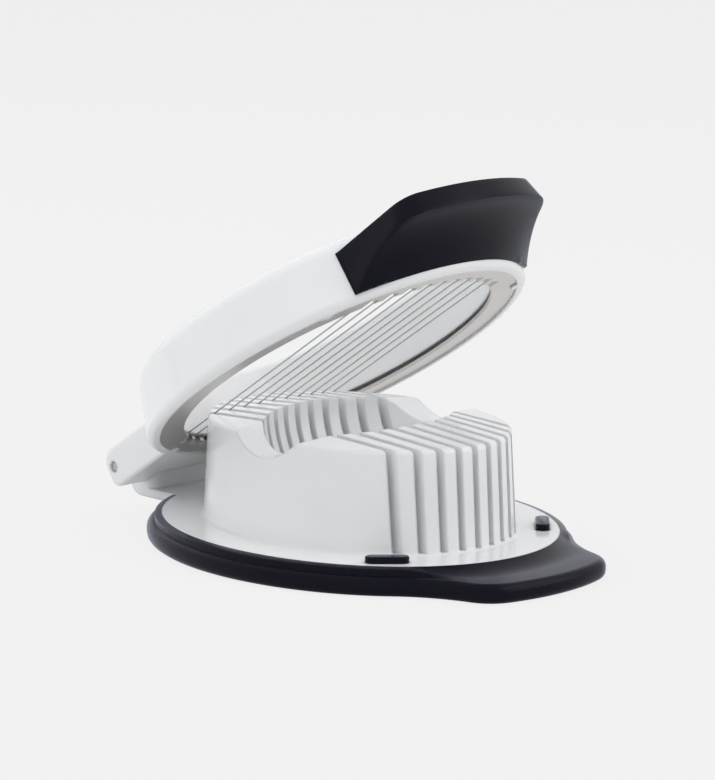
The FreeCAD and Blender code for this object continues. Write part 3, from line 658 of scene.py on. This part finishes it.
@dataclass
class BaseRing:
    """Soft ring around the plate with a finger lip that flows out of its slope."""

    plate_length: float = 62.5 * MM
    plate_width: float = 49.8 * MM
    seat_gap: float = 0.05 * MM
    width: float = 4.4 * MM
    height: float = 7.7 * MM
    side: float = 5.5 * MM
    floor: float = 1.4 * MM
    flange: float = 8.0 * MM
    lip_length: float = 12.5 * MM
    lip_setback: float = 16.9 * MM
    lip_corner_radius: float = 12.0 * MM
    lip_side_radius: float = 45.0 * MM
    lip_front_radius: float = 62.0 * MM
    dish: float = 8.0 * MM
    top_radius: float = 2.3 * MM
    bottom_radius: float = 2.2 * MM
    notch_half_width: float = 17.05 * MM
    notch_top: float = 4.95 * MM
    notch_back: float = -56.25 * MM
    steps: int = 224
    slope_points: int = 9
    slope_share: float = 0.45
    lip: Outline = field(init=False)
    root_angle: float = field(init=False)

    def __post_init__(self) -> None:
        """Work out the outline of the lip."""
        length = self.plate_length + self.width
        width = self.plate_width + self.width
        self.root_angle = math.acos(1.0 - self.lip_setback / length)
        root = Vector((length - self.lip_setback, width * math.sin(self.root_angle)))
        front = Vector((length + self.lip_length, 0.0))
        outward = Vector((root.x / length ** 2, root.y / width ** 2)).normalized()
        side = root + outward * self.lip_side_radius
        bow = Vector((front.x - self.lip_front_radius, 0.0))
        centre, on_bow, on_side = fillet_between(bow, self.lip_front_radius, side, self.lip_side_radius,
                                                 self.lip_corner_radius)
        self.lip = Outline([
            Arc.through(bow, front, on_bow),
            Arc.through(centre, on_bow, on_side),
            Arc.through(side, on_side, root),
        ])

    def edge(self, angle: float) -> Vector:
        """Outer edge of the ring in plan at an angle of its ellipse."""
        if abs(angle) < self.root_angle:
            point = self.lip.at(abs(angle) / self.root_angle)
            return Vector((point.x, math.copysign(point.y, angle)))
        length = self.plate_length + self.width
        width = self.plate_width + self.width
        return Vector((length * math.cos(angle), width * math.sin(angle)))

    def place(self, angle: float, across: float, up: float) -> Vector:
        """Lay a vertex of the spun profile.

        Args:
            angle: Angle of the ellipse.
            across: Share of the way from the seat to the outer edge, or below 0 under the plate.
            up: Share of the height at that place.

        Returns:
            The vertex's place.
        """
        under = across < -0.01
        reach = across * self.flange if under else self.seat_gap
        seat = Vector(((self.plate_length + reach) * math.cos(angle),
                       (self.plate_width + reach) * math.sin(angle)))
        if under:
            return Vector((seat.x, seat.y, self.floor * up))
        outer = self.edge(angle)
        span = (outer - seat).length
        across = max(across, 0.0)
        plan = seat.lerp(outer, across)
        run = min(across * span / max(min(self.dish, span), 1e-9), 1.0)
        lip_share = smooth_step((span - self.width) / (self.dish - self.width))
        fall = (1.0 - run ** 2) * (1.0 - lip_share) + (1.0 - run) ** 2 * lip_share
        top = self.side + (self.height - self.side) * fall
        return Vector((plan.x, plan.y, top * up))

    def build(self) -> bmesh.types.BMesh:
        """Make the ring.

        Returns:
            The mesh.
        """
        floor_share = self.floor / self.height
        slope = [(self.slope_share * (step + 1) / self.slope_points, 1.0) for step in range(self.slope_points)]
        profile = [(-1.0, 0.0), (-1.0, 1.0), (0.0, floor_share), (0.0, 1.0), *slope, (1.0, 1.0), (1.0, 0.0),
                   (0.0, 0.0)]
        outer = 4 + len(slope)
        corners = {outer: (self.top_radius, 5), outer + 1: (self.bottom_radius, 4)}
        mesh = spun_loft(profile, self.steps, 2 * math.pi, self.place, corners)
        self.cut_notch(mesh)
        return mesh

    def dress(self, material: bpy.types.Material) -> bpy.types.Object:
        """Make the ring's piece in its finish."""
        return finish_piece(self.build(), "base_ring_soft", material, Body.BASE, Slot.BLACK, "base_ring")

    def cut_notch(self, mesh: bmesh.types.BMesh) -> None:
        """Lower the ring's back where the hinge tongue passes over it."""
        sliver = 0.01 * MM
        for side in (-1, 1):
            for half in (self.notch_half_width, self.notch_half_width + sliver):
                back = [vert for vert in mesh.verts if vert.co.x < 0.0]
                back += [part for part in (*mesh.edges, *mesh.faces) if all(v.co.x < 0.0 for v in part.verts)]
                bmesh.ops.bisect_plane(mesh, geom=back, dist=1e-7, plane_co=(0, side * half, 0),
                                       plane_no=(0, 1, 0))
        limit = self.notch_half_width + sliver / 2
        for vert in mesh.verts:
            if vert.co.x < self.notch_back and abs(vert.co.y) < limit:
                vert.co.z = min(vert.co.z, self.notch_top)


@dataclass
class LidGrip:
    """Soft grip that wraps the front wall of the lid, with a hollow for a finger under its tip."""

    hinge: Vector = field(default_factory=lambda: Vector((-74.2, 0.0, 15.2)) * MM)
    tilt: float = REST_TILT
    centre: float = 74.8 * MM
    wall_length: float = 62.6 * MM
    wall_width: float = 55.1 * MM
    wall_low: float = -5.9 * MM
    wall_high: float = 14.2 * MM
    draft: float = 5.1 * MM
    seat_gap: float = 0.05 * MM
    start: float = 44.0 * MM
    low_level: float = -5.1 * MM
    high_level: float = 14.0 * MM
    low_half: float = 33.0 * MM
    high_half: float = 30.8 * MM
    low_side: float = 24.0 * MM
    high_side: float = 21.0 * MM
    low_angle: float = math.radians(1.3)
    high_angle: float = math.radians(13.0)
    low_corner: float = 9.5 * MM
    high_corner: float = 8.0 * MM
    pivot: Vector = field(default_factory=lambda: Vector((10.0, 0.0)) * MM)
    reach: float = 16.4 * MM
    root: float = 16.0 * MM
    low: float = -4.1 * MM
    under_radius: float = 25.0 * MM
    tip_low: float = 6.8 * MM
    tip_high: float = 13.0 * MM
    tip_lean: float = 1.6 * MM
    root_high: float = 7.4 * MM
    core_cover: float = 11.1 * MM
    core_half: float = 19.0 * MM
    core_fade: float = 6.0 * MM
    end_thickness: float = 0.3 * MM
    crease_radius: float = 1.0 * MM
    edge_radius: float = 1.3 * MM
    steps: int = 144
    under_shares: Sequence[float] = (0.1, 0.22, 0.36, 0.52, 0.68, 0.84)
    flank_shares: Sequence[float] = (0.25, 0.5, 0.75)
    top_shares: Sequence[float] = (0.75, 0.5, 0.25)

    @property
    def wall_radius(self) -> float:
        """Distance from the pivot to the front of the lid's wall."""
        return self.wall_length - self.pivot.x

    def under(self, radius: float) -> float:
        """Height of the underside at a radius about the pivot."""
        if radius <= self.wall_radius:
            return self.low
        first = Vector((self.wall_radius, self.low))
        last = Vector((self.wall_radius + self.reach, self.tip_low))
        centre = chord_centre(first, last, self.under_radius, False)
        rise = math.sqrt(max(self.under_radius ** 2 - (radius - centre.x) ** 2, 0.0))
        return centre.y + rise

    def top(self, radius: float) -> float:
        """Height of the upper face at a radius about the pivot."""
        tip = self.wall_radius + self.reach - self.tip_lean
        back = self.wall_radius - self.root
        return self.root_high + (self.tip_high - self.root_high) * (radius - back) / (tip - back)

    def wall(self, plan: Vector, height: float) -> Vector:
        """Point of the lid's wall in the direction of a point in plan.

        Args:
            plan: Point in plan about the lid's centre.
            height: Height at which the wall is met.

        Returns:
            The wall's point in plan.
        """
        size = self.wall_size(height)
        return plan / math.hypot(plan.x / size.x, plan.y / size.y)

    def wall_size(self, height: float) -> Vector:
        """Half length and half width of the lid's wall at a height."""
        shrink = self.draft * (height - self.wall_low) / (self.wall_high - self.wall_low) - self.seat_gap
        return Vector((self.wall_length - shrink, self.wall_width - shrink))

    def outline(self, height: float, run: float) -> Vector:
        """Outer edge in plan at a height.

        Args:
            height: Height at which the grip is cut.
            run: 0 at the tip's middle, 1 where the corner starts, 2 where it ends, 3 at the lid's wall.

        Returns:
            The point about the lid's centre, on the side of +Y.
        """
        rise = (height - self.low_level) / (self.high_level - self.low_level)
        tip_rise = (height - self.tip_low) / (self.tip_high - self.tip_low)
        root = Vector((self.start, self.low_half + (self.high_half - self.low_half) * rise))
        low = Vector((self.start + self.low_side, self.low_half - self.low_side * math.tan(self.low_angle)))
        high = Vector((self.start + self.high_side, self.high_half - self.high_side * math.tan(self.high_angle)))
        along = (low.lerp(high, rise) - root).normalized()
        inward = Vector((along.y, -along.x))
        tip = self.wall_radius + self.reach - self.tip_lean * tip_rise
        radius = max(self.low_corner + (self.high_corner - self.low_corner) * tip_rise, self.low_corner / 2)
        side = root + inward * radius - self.pivot
        reach = side.dot(along)
        step = math.sqrt(reach * reach - side.length_squared + (tip - radius) ** 2) - reach
        corner = self.pivot + side + along * step
        corner_end = math.atan2(-inward.y, -inward.x)
        corner_start = math.atan2(corner.y, corner.x - self.pivot.x)
        if run <= 1.0:
            angle = corner_start * run
            return self.pivot + Vector((math.cos(angle), math.sin(angle))) * tip
        if run <= 2.0:
            angle = corner_start + (corner_end - corner_start) * (run - 1.0)
            return corner + Vector((math.cos(angle), math.sin(angle))) * radius
        shoulder = corner - inward * radius
        return shoulder.lerp(self.wall_exit(root, along, height), run - 2.0)

    def wall_exit(self, root: Vector, along: Vector, height: float) -> Vector:
        """Where a line that starts inside the lid's wall leaves it.

        Args:
            root: Start of the line in plan.
            along: Its direction.
            height: Height at which the wall is met.

        Returns:
            The point in plan.
        """
        size = self.wall_size(height)
        place = Vector((root.x / size.x, root.y / size.y))
        way = Vector((along.x / size.x, along.y / size.y))
        half = place.dot(way)
        square = way.length_squared
        return root + along * (math.sqrt(half * half + square * (1.0 - place.length_squared)) - half) / square

    def edge(self, run: float, height_of: Callable[[float], float], guess: float) -> tuple[Vector, float]:
        """Where the outer wall meets the underside or the upper face.

        Args:
            run: Place along the outline.
            height_of: Height of that face at a radius about the pivot.
            guess: Height to start from.

        Returns:
            The point in plan, on the side of +Y, and its height.
        """
        height = guess
        plan = self.outline(height, run)
        for _ in range(12):
            height = 0.5 * (height + height_of((plan - self.pivot).length))
            plan = self.outline(height, run)
        return plan, height

    def place(self, angle: float, across: float, up: float) -> Vector:
        """Lay a vertex of the spun profile on the turned lid.

        Args:
            angle: Angle of the spin, with 1 radian at the root.
            across: Share of the way from the wall to the outer edge.
            up: Share of the way from the underside to the upper face.

        Returns:
            The vertex's place in the row frame.
        """
        run = 3.0 * min(abs(angle), 1.0)
        low_plan, low_height = self.edge(run, self.under, self.tip_low)
        high_plan, high_height = self.edge(run, self.top, self.tip_high)
        if up <= 0.0:
            spot = self.from_wall(low_plan, self.low, across)
            height = self.under((spot - self.pivot).length)
        elif up >= 1.0:
            spot = self.from_wall(high_plan, self.root_high + 2.0 * MM, across)
            height = self.top((spot - self.pivot).length)
            over_core = smooth_step((self.core_half + self.core_fade - spot.y) / self.core_fade)
            height += max(self.core_cover - height, 0.0) * over_core
        else:
            height = low_height + (high_height - low_height) * up
            spot = self.from_wall(self.outline(height, run), height, across)
        return self.on_hinge(Vector((spot.x, math.copysign(spot.y, angle), height)))

    def from_wall(self, plan: Vector, height: float, across: float) -> Vector:
        """Point between the lid's wall and the outer edge, with a least thickness at the edge."""
        wall = self.wall(plan, height)
        outward = wall.normalized()
        if (plan - wall).dot(outward) < self.end_thickness:
            plan = wall + outward * self.end_thickness
        return wall.lerp(plan, across)

    def on_hinge(self, point: Vector) -> Vector:
        """Turn a point of the lid, given about its centre, to where the lid stands."""
        turned = Matrix.Rotation(-self.tilt, 3, "Y") @ (point + Vector((self.centre, 0.0, 0.0)))
        return self.hinge + turned

    def build(self) -> bmesh.types.BMesh:
        """Make the grip.

        Returns:
            The mesh.
        """
        under = [(share, 0.0) for share in self.under_shares]
        flank = [(1.0, share) for share in self.flank_shares]
        top = [(share, 1.0) for share in self.top_shares]
        profile = [(0.0, 0.0), *under, (1.0, 0.0), *flank, (1.0, 1.0), *top, (0.0, 1.0)]
        low_corner = 1 + len(under)
        high_corner = low_corner + 1 + len(flank)
        corners = {low_corner: (self.crease_radius, 4), high_corner: (self.edge_radius, 5)}
        return spun_loft(profile, self.steps, 2.0, self.place, corners)

    def dress(self, material: bpy.types.Material) -> bpy.types.Object:
        """Make the grip's piece in its finish."""
        return finish_piece(self.build(), "lid_grip_soft", material, Body.LID, Slot.BLACK, "lid_grip")


@dataclass
class StopPad:
    """Rubber pad in a recess of the plate that the closed lid comes down on."""

    node: str
    side: int
    along: float = 42.73 * MM
    across: float = 30.53 * MM
    turn: float = math.radians(45.83)
    base: float = 6.9 * MM
    length: float = 12.0 * MM
    width: float = 4.0 * MM
    height: float = 2.6 * MM
    edge_radius: float = 1.1 * MM

    def build(self) -> bmesh.types.BMesh:
        """Make the pad: a bar with round ends and a soft upper edge.

        Returns:
            The mesh.
        """
        mesh = bmesh.new()
        bmesh.ops.create_cube(mesh, size=1.0)
        bmesh.ops.scale(mesh, verts=mesh.verts, vec=(self.length, self.width, self.height))
        upright = [edge for edge in mesh.edges if abs(edge.verts[0].co.z - edge.verts[1].co.z) > 1e-6]
        bmesh.ops.bevel(mesh, geom=upright, offset=self.width * 0.495, offset_type="OFFSET", segments=10,
                        profile=0.5, affect="EDGES", clamp_overlap=True, material=-1)
        top = [edge for edge in mesh.edges if all(vert.co.z > self.height * 0.49 for vert in edge.verts)]
        bmesh.ops.bevel(mesh, geom=top, offset=self.edge_radius, offset_type="OFFSET", segments=5,
                        profile=0.5, affect="EDGES", clamp_overlap=True, material=-1)
        bmesh.ops.recalc_face_normals(mesh, faces=mesh.faces)
        middle = Vector((self.along, self.side * self.across, self.base + self.height / 2))
        place = Matrix.Translation(middle) @ Matrix.Rotation(-self.side * self.turn, 4, "Z")
        bmesh.ops.transform(mesh, matrix=place, verts=mesh.verts)
        return mesh

    def dress(self, material: bpy.types.Material) -> bpy.types.Object:
        """Make the pad's piece in its finish."""
        return finish_piece(self.build(), f"{self.node}_soft", material, Body.BASE, Slot.BLACK, self.node)


# Studio


@dataclass(frozen=True)
class Lamp:
    """Soft square lamp that points at the object."""

    name: str
    place: tuple[float, float, float]
    size: float
    power: float
    mirrored: bool = False
    aim: tuple[float, float, float] = (0.0, 0.0, 0.04)

    def build(self) -> None:
        """Make the lamp; glossy surfaces mirror it only where it says so."""
        data = bpy.data.lights.new(self.name, "AREA")
        data.size = self.size
        data.energy = self.power
        lamp = bpy.data.objects.new(self.name, data)
        lamp.location = self.place
        lamp.visible_glossy = self.mirrored
        aim = Vector(self.aim) - lamp.location
        lamp.rotation_euler = aim.to_track_quat("-Z", "Y").to_euler()
        bpy.context.scene.collection.objects.link(lamp)


@dataclass(frozen=True)
class Studio:
    """Pale floor, soft lamps and an even surround."""

    backdrop: Colour = (0.871, 0.871, 0.871, 1.0)
    floor_backdrop: Colour = (0.888, 0.888, 0.888, 1.0)
    floor_colour: Colour = (0.80, 0.80, 0.80, 1.0)
    floor_size: float = 12.0
    floor_gap: float = 0.05 * MM
    floor_glow: float = 0.93
    mirrored_glow: float = 0.25
    surround: Colour = (0.95, 0.975, 1.0, 1.0)
    surround_level: float = 0.545
    lamps: tuple[Lamp, ...] = (
        Lamp("overhead", (0.0, -0.10, 1.0), 1.0, 3.2),
        Lamp("camera_left", (-0.25, -0.95, 0.55), 1.2, 1.8),
        Lamp("left", (-0.95, -0.25, 0.50), 1.3, 4.2),
        Lamp("right", (0.85, 0.45, 0.70), 1.2, 5.4, mirrored=True),
    )

    def build(self) -> None:
        """Make the floor, the surround and the lamps."""
        self.build_floor()
        self.build_surround()
        for lamp in self.lamps:
            lamp.build()

    def build_floor(self) -> None:
        """Floor that stays near the backdrop's shade, keeps the shadow and is clear from below."""
        mesh = bmesh.new()
        bmesh.ops.create_grid(mesh, x_segments=1, y_segments=1, size=self.floor_size)
        bmesh.ops.translate(mesh, vec=(0.0, 0.0, -self.floor_gap), verts=mesh.verts)
        data = bpy.data.meshes.new("floor")
        mesh.to_mesh(data)
        mesh.free()
        floor = bpy.data.objects.new("floor", data)
        bpy.context.scene.collection.objects.link(floor)
        material = bpy.data.materials.new("pale_floor")
        material.use_nodes = True
        sheet = ShaderSheet(material.node_tree)
        material.node_tree.nodes.clear()
        matt = sheet.add("BsdfDiffuse")
        matt.inputs["Color"].default_value = self.floor_colour
        glow = sheet.add("Emission")
        glow.inputs["Color"].default_value = self.floor_backdrop
        path = sheet.add("LightPath")
        mirrored = sheet.maths("MAXIMUM", path.outputs["Is Glossy Ray"], path.outputs["Is Transmission Ray"])
        share = sheet.maths("MAXIMUM", sheet.maths("MULTIPLY", path.outputs["Is Camera Ray"], self.floor_glow),
                            sheet.maths("MULTIPLY", mirrored, self.mirrored_glow))
        mix = sheet.add("MixShader")
        sheet.wire(share, mix.inputs["Fac"])
        sheet.wire(matt.outputs["BSDF"], mix.inputs[1])
        sheet.wire(glow.outputs["Emission"], mix.inputs[2])
        clear = sheet.add("BsdfTransparent")
        side = sheet.add("NewGeometry")
        both = sheet.add("MixShader")
        sheet.wire(side.outputs["Backfacing"], both.inputs["Fac"])
        sheet.wire(mix.outputs["Shader"], both.inputs[1])
        sheet.wire(clear.outputs["BSDF"], both.inputs[2])
        output = sheet.add("OutputMaterial")
        sheet.wire(both.outputs["Shader"], output.inputs["Surface"])
        data.materials.append(material)

    @staticmethod
    def seen_rays(sheet: ShaderSheet) -> bpy.types.NodeSocket:
        """Mask of the rays that show the backdrop: camera, mirror and glass rays."""
        path = sheet.add("LightPath")
        seen = sheet.maths("MAXIMUM", path.outputs["Is Camera Ray"], path.outputs["Is Glossy Ray"])
        return sheet.maths("MAXIMUM", seen, path.outputs["Is Transmission Ray"])

    def build_surround(self) -> None:
        """World that lights evenly and shows the backdrop's colour."""
        world = bpy.data.worlds.new("studio")
        bpy.context.scene.world = world
        world.use_nodes = True
        world.node_tree.nodes.clear()
        sheet = ShaderSheet(world.node_tree)
        light = sheet.add("Background")
        light.inputs["Color"].default_value = self.surround
        light.inputs["Strength"].default_value = self.surround_level
        seen = sheet.add("Background")
        seen.inputs["Color"].default_value = self.backdrop
        mix = sheet.add("MixShader")
        sheet.wire(self.seen_rays(sheet), mix.inputs["Fac"])
        sheet.wire(light.outputs["Background"], mix.inputs[1])
        sheet.wire(seen.outputs["Background"], mix.inputs[2])
        output = sheet.add("OutputWorld")
        sheet.wire(mix.outputs["Shader"], output.inputs["Surface"])


@dataclass(frozen=True)
class PhotoCamera:
    """Camera at the photograph's viewing angle."""

    azimuth: float = math.radians(45.97)
    elevation: float = math.radians(12.44)
    distance: float = 1.0
    target: tuple[float, float, float] = (0.0, 0.0, 0.0193)
    focal_pixels: float = 3537.18
    image_width: int = 715
    image_height: int = 780
    target_pixel: tuple[float, float] = (358.34, 478.5)
    sensor: float = 36.0

    def build(self) -> None:
        """Make the camera and give it to the scene."""
        data = bpy.data.cameras.new("photo_camera")
        data.sensor_width = self.sensor
        data.lens = self.focal_pixels / self.image_height * self.sensor
        camera = bpy.data.objects.new("photo_camera", data)
        flat = math.cos(self.elevation)
        back = Vector((math.sin(self.azimuth) * flat, -math.cos(self.azimuth) * flat, math.sin(self.elevation)))
        right = Vector((math.cos(self.azimuth), math.sin(self.azimuth), 0.0))
        up = back.cross(right)
        pixel = self.distance / self.focal_pixels
        aim = Vector(self.target)
        aim += up * (self.target_pixel[1] - self.image_height / 2) * pixel
        aim -= right * (self.target_pixel[0] - self.image_width / 2) * pixel
        camera.location = Vector(self.target) + back * self.distance
        camera.rotation_euler = (aim - camera.location).to_track_quat("-Z", "Y").to_euler()
        bpy.context.scene.collection.objects.link(camera)
        bpy.context.scene.camera = camera


# Assembly


class EggSlicer:
    """The whole object: finishes on the frame's nodes and the soft pieces."""

    MOULDED = ("base_moulding", "lid_frame")

    def __init__(self) -> None:
        """Make the finishes."""
        effects = Effects()
        plate = DrawnSteel("plate_steel", pale=(0.65, 0.63, 0.61, 1.0), dark=(0.56, 0.54, 0.52, 1.0), low_gloss=0.28,
                           high_gloss=0.33, across=2600.0, along=60.0, depth=0.004 * MM, turn=REST_TILT)
        wire = DrawnSteel("wire_steel", pale=(0.60, 0.60, 0.60, 1.0), dark=(0.46, 0.46, 0.46, 1.0), low_gloss=0.22,
                          high_gloss=0.34, across=5200.0, along=30.0, depth=0.002 * MM, turn=REST_TILT)
        pin = DrawnSteel("pin_steel", pale=(0.60, 0.60, 0.61, 1.0), dark=(0.44, 0.44, 0.45, 1.0), low_gloss=0.20,
                         high_gloss=0.32, across=4200.0, along=4200.0, depth=0.003 * MM)
        finishes = {Slot.WHITE: GlossWhite(), Slot.BLACK: SoftBlack(), Slot.PLATE: plate, Slot.WIRE: wire,
                    Slot.PIN: pin}
        self.materials = {slot: finish.build(effects) for slot, finish in finishes.items()}

    def slot_of(self, name: str) -> Slot:
        """Slot of a node of the frame."""
        if name in self.MOULDED:
            return Slot.WHITE
        if name == "wire_plate":
            return Slot.PLATE
        if name.startswith("wire_"):
            return Slot.WIRE
        return Slot.PIN if name == "hinge_pin" else Slot.BLACK

    def dress_nodes(self) -> None:
        """Give every node of the frame its finish."""
        for name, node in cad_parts.items():
            material = self.materials[self.slot_of(name)]
            node.data.materials.clear()
            node.data.materials.append(material)
            log.info("%s: %s", name, material.name)

    def build(self) -> None:
        """Dress the nodes and add the soft pieces."""
        self.dress_nodes()
        soft = [BaseRing(), LidGrip(), StopPad("stop_pad_near", -1), StopPad("stop_pad_far", 1)]
        for piece in soft:
            piece.dress(self.materials[Slot.BLACK])


def main() -> None:
    """Build the object, the studio and the camera."""
    logging.basicConfig(level=logging.INFO, format="%(name)s %(message)s")
    EggSlicer().build()
    Studio().build()
    PhotoCamera().build()
    bpy.context.scene.view_settings.view_transform = "Standard"


if __name__ == "__main__":
    main()
